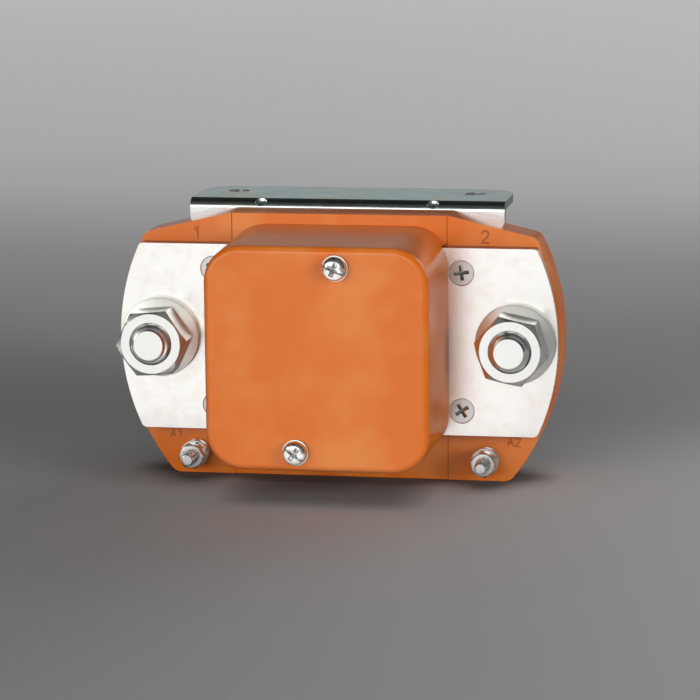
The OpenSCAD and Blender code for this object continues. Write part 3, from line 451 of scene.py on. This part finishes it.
def coil_spring(bm, x, z, start, end, outer_radius, wire_radius, turns):
    """Open coil spring along Y, of round wire."""
    steps_per_turn = 32
    around_wire = 12
    count = turns * steps_per_turn
    mean_radius = outer_radius - wire_radius
    lengthwise = Vector((0, 1, 0))
    rings = []
    for i in range(count + 1):
        turn = 2 * math.pi * i / steps_per_turn
        outward = Vector((math.cos(turn), 0, math.sin(turn)))
        y = start + wire_radius + (end - start - 2 * wire_radius) * i / count
        middle = Vector((x, y, z)) + mean_radius * outward
        ring = []
        for k in range(around_wire):
            angle = 2 * math.pi * k / around_wire
            across_wire = math.cos(angle) * outward + math.sin(angle) * lengthwise
            ring.append(bm.verts.new(middle + wire_radius * across_wire))
        rings.append(ring)
    join_rings(bm, rings)


def cross_recess(u, v, reach, half, depth):
    """Depth of a cross recess at a place on a screw's face: tapered arms round a deeper middle."""
    wall_width = 0.25 * half
    rise_at_end = 0.5
    along = max(abs(u), abs(v))
    across = min(abs(u), abs(v))
    wall = min(half - across, reach - along) / wall_width
    return max(0, min(1, wall)) * depth * (1 - rise_at_end * along / reach)


def ribbon(bm, points, width, y):
    """Flat stroke of a mark along points in the X-Z plane, with its corners cut to a mitre."""
    sharpest = 0.5
    sides = []
    for i, here in enumerate(points):
        before = (here - points[i - 1]).normalized() if i else (points[1] - here).normalized()
        after = (points[i + 1] - here).normalized() if i + 1 < len(points) else before
        mean = (before + after).normalized()
        reach = width / 2 / max(sharpest, mean.dot(after))
        offset = Vector((-mean.y, mean.x)) * reach
        sides.append([bm.verts.new((p.x, y, p.y)) for p in (here + offset, here - offset)])
    for (a, b), (c, d) in zip(sides, sides[1:]):
        bm.faces.new((a, b, d, c))


class CONTACTOR_OT_mouldings(bpy.types.Operator):
    """Head base and arc cover"""

    bl_idname = "contactor.mouldings"
    bl_label = "Mouldings"

    def execute(self, context):
        sizes = context.scene.contactor_sizes
        dress(["head_base"], "polyester moulding", sizes.moulding_edge, segments=3, merge_flats=False)
        dress(["arc_cover"], "polyester moulding", sizes.moulding_edge, segments=3)
        return {"FINISHED"}


class CONTACTOR_OT_terminal_plates(bpy.types.Operator):
    """The two plated terminal plates"""

    bl_idname = "contactor.terminal_plates"
    bl_label = "Terminal plates"

    def execute(self, context):
        sizes = context.scene.contactor_sizes
        plates = ["terminal_plate_left", "terminal_plate_right"]
        dress(plates, "nickel plate", sizes.plate_edge, segments=3, merge_flats=False)
        return {"FINISHED"}


class CONTACTOR_OT_main_studs(bpy.types.Operator):
    """Main studs with their threads and clinch heads"""

    bl_idname = "contactor.main_studs"
    bl_label = "Main studs"

    def execute(self, context):
        sizes = context.scene.contactor_sizes
        radius, tip_radius, thread_length = 6 * MM, 4.4 * MM, 6 * MM
        head_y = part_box("terminal_plate_left")[1].y
        for name, x in (("terminal_stud_left", -TERMINAL_X), ("terminal_stud_right", TERMINAL_X)):
            low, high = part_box(name)
            head = (high.x - low.x) / 2
            bm = bmesh.new()
            threaded_rod(
                bm, x, TERMINAL_Z, low.y, head_y, radius, tip_radius, sizes.main_thread, thread_length
            )
            turned(bm, x, TERMINAL_Z, [(head, head_y), (head, high.y)])
            piece = new_piece(name + "_threaded", bm, "zinc hardware")
            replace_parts(piece, name)
        return {"FINISHED"}


class CONTACTOR_OT_main_nuts(bpy.types.Operator):
    """Main nuts and their dished washers"""

    bl_idname = "contactor.main_nuts"
    bl_label = "Main nuts and washers"

    def execute(self, context):
        sizes = context.scene.contactor_sizes
        dress(["terminal_nuts"], "zinc hardware", sizes.hardware_edge)
        dress(["conical_washers"], "dull zinc", sizes.hardware_edge)
        return {"FINISHED"}


class CONTACTOR_OT_screws(bpy.types.Operator):
    """Plate screws, cover screws and their washers, and the hidden screws"""

    bl_idname = "contactor.screws"
    bl_label = "Screws"

    def execute(self, context):
        sizes = context.scene.contactor_sizes
        dress(["cover_spring_washers"], "zinc hardware", sizes.hardware_edge)
        dress(["head_screws", "yoke_screws"], "zinc hardware")
        self.plate_screws()
        self.cover_screws()
        return {"FINISHED"}

    def plate_screws(self):
        """Countersunk, with a cross recess, each turned as it was driven."""
        low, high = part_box("plate_screws")
        head, shank = 3.75 * MM, 2 * MM
        set_in, rim_fall = 0.2 * MM, 0.1 * MM
        reach, half, depth = 2.2 * MM, 0.48 * MM, 2 * MM
        face = low.y + set_in
        # The first ring is less than one step from the middle, so that no face is a point
        steps, first = 30, 0.4
        profile = [(0.96 * head * (i + first) / (steps + first), face) for i in range(steps + 1)]
        profile += [(0.98 * head, face + rim_fall), (shank, low.y + head - shank), (shank, high.y)]
        bm = bmesh.new()
        # Degrees that each cross was left at
        turns = iter((8, 32, 56, 80))
        for x in (high.x - head, low.x + head):
            for z in (high.z - head, low.z + head):
                turn = math.radians(next(turns))

                def sunk(u, v, y):
                    a = u * math.cos(turn) + v * math.sin(turn)
                    b = v * math.cos(turn) - u * math.sin(turn)
                    return cross_recess(a, b, reach, half, depth) if y == face else 0

                turned(bm, x, z, profile, around=96, sunk=sunk)
        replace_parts(new_piece("plate_screws_recessed", bm, "steel screw"), "plate_screws")

    def cover_screws(self):
        """Pan heads with a slot across a cross recess."""
        low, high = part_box("cover_screws")
        head, shank = 3.6 * MM, 2 * MM
        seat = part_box("cover_spring_washers")[0].y
        rise = seat - low.y
        slot_half, slot_wall, slot_depth = 0.5 * MM, 0.15 * MM, 0.4 * rise
        reach, half, depth = 2.1 * MM, 0.62 * MM, 0.8 * rise
        # The first ring is less than one step from the middle, so that no face is a point
        steps, first = 30, 0.4
        shares = [(i + first) / (steps + first) for i in range(steps + 1)]
        # A straight rim takes a quarter of the head's height, and its dome the rest
        rim, dome = 0.25, 0.75
        profile = [(head * t, seat - rise * (rim + dome * math.sqrt(max(0, 1 - t**4)))) for t in shares]
        profile += [(head, seat), (shank, seat), (shank, high.y)]
        dome_foot = seat - 0.3 * rise
        bm = bmesh.new()
        for x, z, degrees in ((high.x - head, high.z - head, 23), (low.x + head, low.z + head, 36)):
            turn = -math.radians(degrees)

            def sunk(u, v, y):
                if y > dome_foot:
                    return 0
                a = u * math.cos(turn) + v * math.sin(turn)
                b = v * math.cos(turn) - u * math.sin(turn)
                slot = max(0, min(1, (slot_half - abs(b)) / slot_wall)) * slot_depth
                return max(slot, cross_recess(a, b, reach, half, depth))

            turned(bm, x, z, profile, around=96, sunk=sunk)
        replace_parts(new_piece("cover_screws_recessed", bm, "zinc hardware"), "cover_screws")


class CONTACTOR_OT_coil_terminals(bpy.types.Operator):
    """Coil studs with their threads, washers, nuts, lugs and leads"""

    bl_idname = "contactor.coil_terminals"
    bl_label = "Coil terminals"

    def execute(self, context):
        sizes = context.scene.contactor_sizes
        hardware = ["coil_nuts", "coil_flat_washers", "coil_spring_washers"]
        dress(hardware, "zinc hardware", sizes.hardware_edge)
        dress(["lead_lugs"], "zinc hardware")
        dress(["coil_leads"], "silicone sleeve")
        low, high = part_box("coil_studs")
        radius, tip_radius, thread_length = 2 * MM, 1.4 * MM, 8 * MM
        lug_thickness = 0.8 * MM
        lug_back = BACK_Y + lug_thickness
        head = [(COIL_HEAD_CORNER, lug_back), (COIL_HEAD_CORNER, high.y)]
        bm = bmesh.new()
        for x in (-COIL_STUD_X, COIL_STUD_X):
            threaded_rod(
                bm, x, COIL_STUD_Z, low.y, lug_back, radius, tip_radius, sizes.coil_thread, thread_length
            )
            turned(bm, x, COIL_STUD_Z, head, around=6)
        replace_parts(new_piece("coil_studs_threaded", bm, "zinc hardware"), "coil_studs")
        return {"FINISHED"}


class CONTACTOR_OT_bracket(bpy.types.Operator):
    """Folded mounting bracket"""

    bl_idname = "contactor.bracket"
    bl_label = "Bracket"

    def execute(self, context):
        sizes = context.scene.contactor_sizes
        dress(["mounting_bracket"], "passivated sheet", sizes.sheet_edge, merge_flats=False)
        return {"FINISHED"}


class CONTACTOR_OT_magnet(bpy.types.Operator):
    """Yoke, pole plate, core and plunger"""

    bl_idname = "contactor.magnet"
    bl_label = "Magnet"

    def execute(self, context):
        sizes = context.scene.contactor_sizes
        dress(["yoke_frame", "pole_plate"], "plated iron", sizes.sheet_edge)
        dress(["core_bolt", "core_washer"], "zinc hardware", sizes.hardware_edge)
        dress(["fixed_core", "plunger", "drive_shaft"], "ground steel")
        dress(["plunger_sleeve", "guide_bush"], "brass")
        dress(["bumper_washer"], "black rubber")
        return {"FINISHED"}


class CONTACTOR_OT_coil(bpy.types.Operator):
    """Bobbin, winding and tape"""

    bl_idname = "contactor.coil"
    bl_label = "Coil"

    def execute(self, context):
        sizes = context.scene.contactor_sizes
        dress(["coil_bobbin"], "natural nylon", sizes.sheet_edge)
        dress(["coil_winding"], "copper")
        dress(["coil_tape"], "coil tape")
        return {"FINISHED"}


class CONTACTOR_OT_contacts(bpy.types.Operator):
    """Bridge, contact tips, hub and arc parts inside the cover"""

    bl_idname = "contactor.contacts"
    bl_label = "Contacts and arc chamber"

    def execute(self, context):
        dress(["moving_bridge"], "copper")
        dress(["fixed_contacts", "moving_contacts"], "silver alloy")
        dress(["bridge_hub"], "natural nylon")
        dress(["blowout_yoke"], "ground steel")
        dress(["spring_seat", "shaft_nut"], "zinc hardware")
        dress(["arc_liner"], "liner board")
        dress(["blowout_magnets"], "ferrite")
        return {"FINISHED"}


class CONTACTOR_OT_springs(bpy.types.Operator):
    """Return spring and contact spring, wound between the parts that they press on"""

    bl_idname = "contactor.springs"
    bl_label = "Springs"

    def execute(self, context):
        sizes = context.scene.contactor_sizes
        springs = (
            ("return_spring", sizes.return_wire, 7, "housing"),
            ("contact_spring", sizes.contact_wire, 4, "bridge"),
        )
        for name, wire, turns, far_body in springs:
            low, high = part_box(name)
            middle = (low + high) / 2
            radius = (high.x - low.x) / 2
            bm = bmesh.new()
            coil_spring(bm, middle.x, middle.z, low.y, high.y, radius, wire / 2, turns)
            piece = new_piece(name + "_wound", bm, "ground steel", body=None)
            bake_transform(piece)
            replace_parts(piece, name)
        return {"FINISHED"}


# The bow of the 2, from its left end over the top
BOW_RADIUS = 0.27
BOW_TURNS = [math.radians(degrees) for degrees in range(0, 211, 30)]
BOW = [(0.3 - BOW_RADIUS * math.cos(a), 0.73 + BOW_RADIUS * math.sin(a)) for a in BOW_TURNS]

# Strokes of the marks in a cell one unit high
GLYPHS = {
    "1": [[(0.04, 0.74), (0.32, 1), (0.32, 0)]],
    "2": [BOW + [(0.02, 0), (0.62, 0)]],
    "A": [[(0, 0), (0.33, 1), (0.66, 0)], [(0.12, 0.36), (0.54, 0.36)]],
}


class CONTACTOR_OT_marks(bpy.types.Operator):
    """Terminal marks on the head's face"""

    bl_idname = "contactor.marks"
    bl_label = "Terminal marks"

    def execute(self, context):
        sizes = context.scene.contactor_sizes
        tall, small = sizes.mark_height, 0.72 * sizes.mark_height
        # Middle of each mark in millimetres from the middle of the part and the terminals' line
        marks = (
            ("1", -43.4, 31, tall),
            ("2", 44.4, 31.2, tall),
            ("A1", -51.1, -31.2, small),
            ("A2", 52.9, -31, small),
        )
        # Glyphs are half of this wide and this far apart, as shares of their height
        half_width, pitch = 0.31, 0.86
        # The strokes lie flat just over the face; their darker colour is painted shade
        over_face = 0.015 * MM
        for text, x, z, height in marks:
            bm = bmesh.new()
            middle = Vector((x * MM, TERMINAL_Z + z * MM))
            for i, glyph in enumerate(text):
                left = -half_width + pitch * (i - (len(text) - 1) / 2)
                for stroke in GLYPHS[glyph]:
                    points = [middle + height * Vector((left + u, v - 0.5)) for u, v in stroke]
                    ribbon(bm, points, sizes.mark_stroke * height / tall, FACE_Y - over_face)
            new_piece("mark_" + text, bm, "engraved mark")
        return {"FINISHED"}


def area_lamp(name, place, target, width, height, watts, mirrored=True):
    """Soft box aimed at a point; one that isn't mirrored lights the part without showing in its metal."""
    lamp = bpy.data.lights.new(name, "AREA")
    lamp.shape = "RECTANGLE"
    lamp.size = width
    lamp.size_y = height
    lamp.energy = watts
    box = bpy.data.objects.new(name, lamp)
    box.location = place
    box.rotation_euler = (Vector(target) - Vector(place)).to_track_quat("-Z", "Y").to_euler()
    box.visible_glossy = mirrored
    bpy.context.scene.collection.objects.link(box)


class CONTACTOR_OT_stage(bpy.types.Operator):
    """Grey paper floor, soft boxes, room and camera"""

    bl_idname = "contactor.stage"
    bl_label = "Stage"

    def execute(self, context):
        self.paper(context)
        # Places, aims, widths and heights in metres, and watts
        cover = (0, 0, 0.05)
        area_lamp("key_box", (-0.6, -1.35, 0.4), cover, 2.6, 0.6, 11)
        area_lamp("front_fill", (-0.5, -1.3, 0.35), cover, 1.2, 0.6, 5.8, mirrored=False)
        area_lamp("right_box", (1.1, -0.8, 0.35), cover, 0.5, 0.5, 9, mirrored=False)
        area_lamp("top_box", (0, 0.1, 1.4), (0, 0, 0), 1.2, 1.0, 0.4, mirrored=False)
        area_lamp("back_box", (1.0, 1.4, 0.7), (0, 0, 0.04), 1.0, 1.0, 6.5)
        self.room(context)
        self.camera(context)
        context.scene.view_settings.view_transform = "Standard"
        return {"FINISHED"}

    def room(self, context):
        """A dim room, paler in front and above, with one pale wall behind, which the level faces mirror.

        Places in it are parts of a direction that is one unit long.
        """
        world = bpy.data.worlds.new("Studio")
        context.scene.world = world
        world.use_nodes = True
        tree = world.node_tree
        way = add(tree, "ShaderNodeTexCoord").outputs["Generated"]
        dark, front_level, ceiling_level, wall_level = 0.03, 0.16, 0.14, 0.42
        wall = (-0.2, 0.97, 0.12)
        card_middle, card_shade = -0.18, 0.15
        across, back, up = add(tree, "ShaderNodeSeparateXYZ", Vector=way).outputs
        front = add(
            tree,
            "ShaderNodeMapRange",
            Value=back,
            From_Min=-0.1,
            From_Max=-0.5,
            To_Min=dark,
            To_Max=front_level,
        )
        rear = add(tree, "ShaderNodeMapRange", Value=back, From_Min=0.1, From_Max=0.4, To_Max=ceiling_level)
        ceiling = add(
            tree,
            "ShaderNodeMapRange",
            Value=up,
            From_Min=0.3,
            From_Max=0.75,
            To_Max=rear.outputs["Result"],
        )
        dim = add(
            tree,
            "ShaderNodeMath",
            {"operation": "MAXIMUM"},
            _0=front.outputs["Result"],
            _1=ceiling.outputs["Result"],
        )
        # A black card hung over the part from back to front draws the dark line along the bracket's bend
        aside = add(tree, "ShaderNodeMath", {"operation": "SUBTRACT"}, _0=across, _1=card_middle)
        off_card = add(tree, "ShaderNodeMath", {"operation": "ABSOLUTE"}, _0=aside.outputs["Value"])
        card = add(
            tree,
            "ShaderNodeMapRange",
            Value=off_card.outputs["Value"],
            From_Min=0.08,
            From_Max=0.16,
            To_Min=card_shade,
        )
        flagged = add(
            tree,
            "ShaderNodeMath",
            {"operation": "MULTIPLY"},
            _0=dim.outputs["Value"],
            _1=card.outputs["Result"],
        )
        near = add(tree, "ShaderNodeVectorMath", {"operation": "DOT_PRODUCT"}, _0=way, _1=wall)
        glow = add(
            tree,
            "ShaderNodeMapRange",
            Value=near.outputs["Value"],
            From_Min=0.945,
            From_Max=0.994,
            To_Min=flagged.outputs["Value"],
            To_Max=wall_level,
        )
        tree.links.new(glow.outputs["Result"], tree.nodes["Background"].inputs["Strength"])
        tree.nodes["Background"].inputs["Color"].default_value = (1, 1, 1, 1)

    def paper(self, context):
        """A wide sheet of uncoated grey paper: matt, with a painted glow towards its far end and painted
        light on its right, most near the part.

        Places on it are in metres from the middle of the part.
        """
        tones = context.scene.contactor_colours
        half_side, far_end, white = 6, 2.0, 0.9
        bm = bmesh.new()
        bmesh.ops.create_grid(bm, x_segments=1, y_segments=1, size=half_side)
        mesh = bpy.data.meshes.new("paper")
        bm.to_mesh(mesh)
        bm.free()
        paper = bpy.data.objects.new("paper", mesh)
        context.scene.collection.objects.link(paper)
        material, surface = shader("Grey paper", Roughness=0.9, Emission_Strength=1.0)
        tree = material.node_tree
        place = add(tree, "ShaderNodeTexCoord").outputs["Object"]
        across, along, _ = add(tree, "ShaderNodeSeparateXYZ", Vector=place).outputs
        # Painted light: on the right and near the part the paper's colour turns paler, a pool of light
        # painted on it
        behind = add(tree, "ShaderNodeMapRange", Value=along, From_Min=0.25, From_Max=0.04)
        beside = add(
            tree,
            "ShaderNodeMapRange",
            Value=along,
            From_Min=-0.35,
            From_Max=0.0,
            To_Min=0.25,
            To_Max=behind.outputs["Result"],
        )
        rightward = add(
            tree,
            "ShaderNodeMapRange",
            Value=across,
            From_Min=-0.05,
            From_Max=0.2,
            To_Max=beside.outputs["Result"],
        )
        tone = add(
            tree,
            "ShaderNodeMix",
            {"data_type": "RGBA"},
            _0=rightward.outputs["Result"],
            _6=(*tones.backdrop, 1),
            _7=(*tones.backdrop_painted_light, 1),
        )
        # Next to the part the paper's colour is darkened by ambient occlusion, a painted contact shadow
        open_sky = add(tree, "ShaderNodeAmbientOcclusion", Distance=12 * MM)
        openness = add(tree, "ShaderNodeMapRange", Value=open_sky.outputs["AO"], From_Min=0.5, To_Min=0.25)
        shaded = add(
            tree,
            "ShaderNodeMix",
            {"data_type": "RGBA"},
            _0=openness.outputs["Result"],
            _6=(0, 0, 0, 1),
            _7=tone.outputs[2],
        )
        tree.links.new(shaded.outputs[2], surface.inputs["Base Color"])
        # Its far part glows; each stop is a share of the way to the far end and a strength
        share = add(tree, "ShaderNodeMapRange", Value=along, From_Min=0.0, From_Max=far_end)
        ramp = add(tree, "ShaderNodeValToRGB", Fac=share.outputs["Result"])
        stops = ((0.0, 0.0), (0.04, 0.0), (0.2, 0.115), (0.31, 0.25), (0.4, 0.3), (0.9, 0.415))
        # A new ramp has its first two stops already
        for i, (at, glow) in enumerate(stops):
            stop = ramp.color_ramp.elements[i] if i < 2 else ramp.color_ramp.elements.new(at)
            stop.position = at
            stop.color = (glow, glow, glow, 1)
        # In a first mirror the paper glows white in front of the part, a painted light seen only in
        # reflections, and without its glow behind it
        path = add(tree, "ShaderNodeLightPath").outputs
        first = add(tree, "ShaderNodeMath", {"operation": "LESS_THAN"}, _0=path["Glossy Depth"], _1=1.5)
        mirrored = add(
            tree,
            "ShaderNodeMath",
            {"operation": "MULTIPLY"},
            _0=path["Is Glossy Ray"],
            _1=first.outputs["Value"],
        )
        right = add(tree, "ShaderNodeMapRange", Value=across, From_Min=0.1, From_Max=0.04, To_Max=white)
        left = add(
            tree,
            "ShaderNodeMapRange",
            Value=across,
            From_Min=-0.32,
            From_Max=-0.2,
            To_Max=right.outputs["Result"],
        )
        front = add(
            tree,
            "ShaderNodeMapRange",
            Value=along,
            From_Min=-0.05,
            From_Max=-0.085,
            To_Max=left.outputs["Result"],
        )
        glow = add(
            tree,
            "ShaderNodeMix",
            {"data_type": "RGBA"},
            _0=mirrored.outputs["Value"],
            _6=ramp.outputs["Color"],
            _7=front.outputs["Result"],
        )
        tree.links.new(glow.outputs[2], surface.inputs["Emission Color"])
        mesh.materials.append(material)

    def camera(self, context):
        """Camera at the photograph's viewing angle."""
        # Angles in degrees, solved from the photograph with the place below
        yaw, pitch, roll = (math.radians(v) for v in (10.421, 10.582, -0.597))
        # Focal length and picture width in pixels, which give the lens on a 36 mm sensor
        focal_pixels, picture_pixels, sensor = 3200, 700, 36
        level = Vector((-math.sin(yaw), math.cos(yaw), 0))
        forward = math.cos(pitch) * level - math.sin(pitch) * Vector((0, 0, 1))
        right = Vector((math.cos(yaw), math.sin(yaw), 0))
        up = right.cross(forward)
        turned_right = math.cos(roll) * right + math.sin(roll) * up
        turned_up = -math.sin(roll) * right + math.cos(roll) * up
        view = bpy.data.cameras.new("Camera")
        view.sensor_width = sensor
        view.lens = sensor * focal_pixels / picture_pixels
        view.clip_start = 10 * MM
        camera = bpy.data.objects.new("Camera", view)
        # In millimetres, with the terminal plates' front and the terminals' height at zero
        place = Vector((174.82, -929.01, 173.37)) * MM + Vector((0, PLATE_Y, TERMINAL_Z))
        axes = Matrix((turned_right, turned_up, -forward)).transposed().to_4x4()
        camera.matrix_world = Matrix.Translation(place) @ axes
        context.scene.collection.objects.link(camera)
        context.scene.camera = camera


OPERATORS = (
    CONTACTOR_OT_mouldings,
    CONTACTOR_OT_terminal_plates,
    CONTACTOR_OT_main_studs,
    CONTACTOR_OT_main_nuts,
    CONTACTOR_OT_screws,
    CONTACTOR_OT_coil_terminals,
    CONTACTOR_OT_bracket,
    CONTACTOR_OT_magnet,
    CONTACTOR_OT_coil,
    CONTACTOR_OT_contacts,
    CONTACTOR_OT_springs,
    CONTACTOR_OT_marks,
    CONTACTOR_OT_stage,
)


class CONTACTOR_PT_panel(bpy.types.Panel):
    """Sizes, colours and pieces of the contactor"""

    bl_idname = "CONTACTOR_PT_panel"
    bl_label = "DC contactor"
    bl_space_type = "VIEW_3D"
    bl_region_type = "UI"
    bl_category = "Contactor"

    def draw(self, context):
        for group in (context.scene.contactor_sizes, context.scene.contactor_colours):
            box = self.layout.box()
            for name in group.__annotations__:
                box.prop(group, name)
        for operator in OPERATORS:
            self.layout.operator(operator.bl_idname)


CLASSES = (CONTACTOR_PG_sizes, CONTACTOR_PG_colours, *OPERATORS, CONTACTOR_PT_panel)


def register():
    """Makes the sizes, the colours, the operators and the panel known to Blender."""
    for cls in CLASSES:
        bpy.utils.register_class(cls)
    bpy.types.Scene.contactor_sizes = PointerProperty(type=CONTACTOR_PG_sizes)
    bpy.types.Scene.contactor_colours = PointerProperty(type=CONTACTOR_PG_colours)


def unregister():
    """Takes back what register made known."""
    del bpy.types.Scene.contactor_colours
    del bpy.types.Scene.contactor_sizes
    for cls in reversed(CLASSES):
        bpy.utils.unregister_class(cls)


def main():
    """Makes every piece and the stage in order."""
    register()
    for operator in OPERATORS:
        group, name = operator.bl_idname.split(".")
        getattr(getattr(bpy.ops, group), name)()


if __name__ == "__main__":
    main()
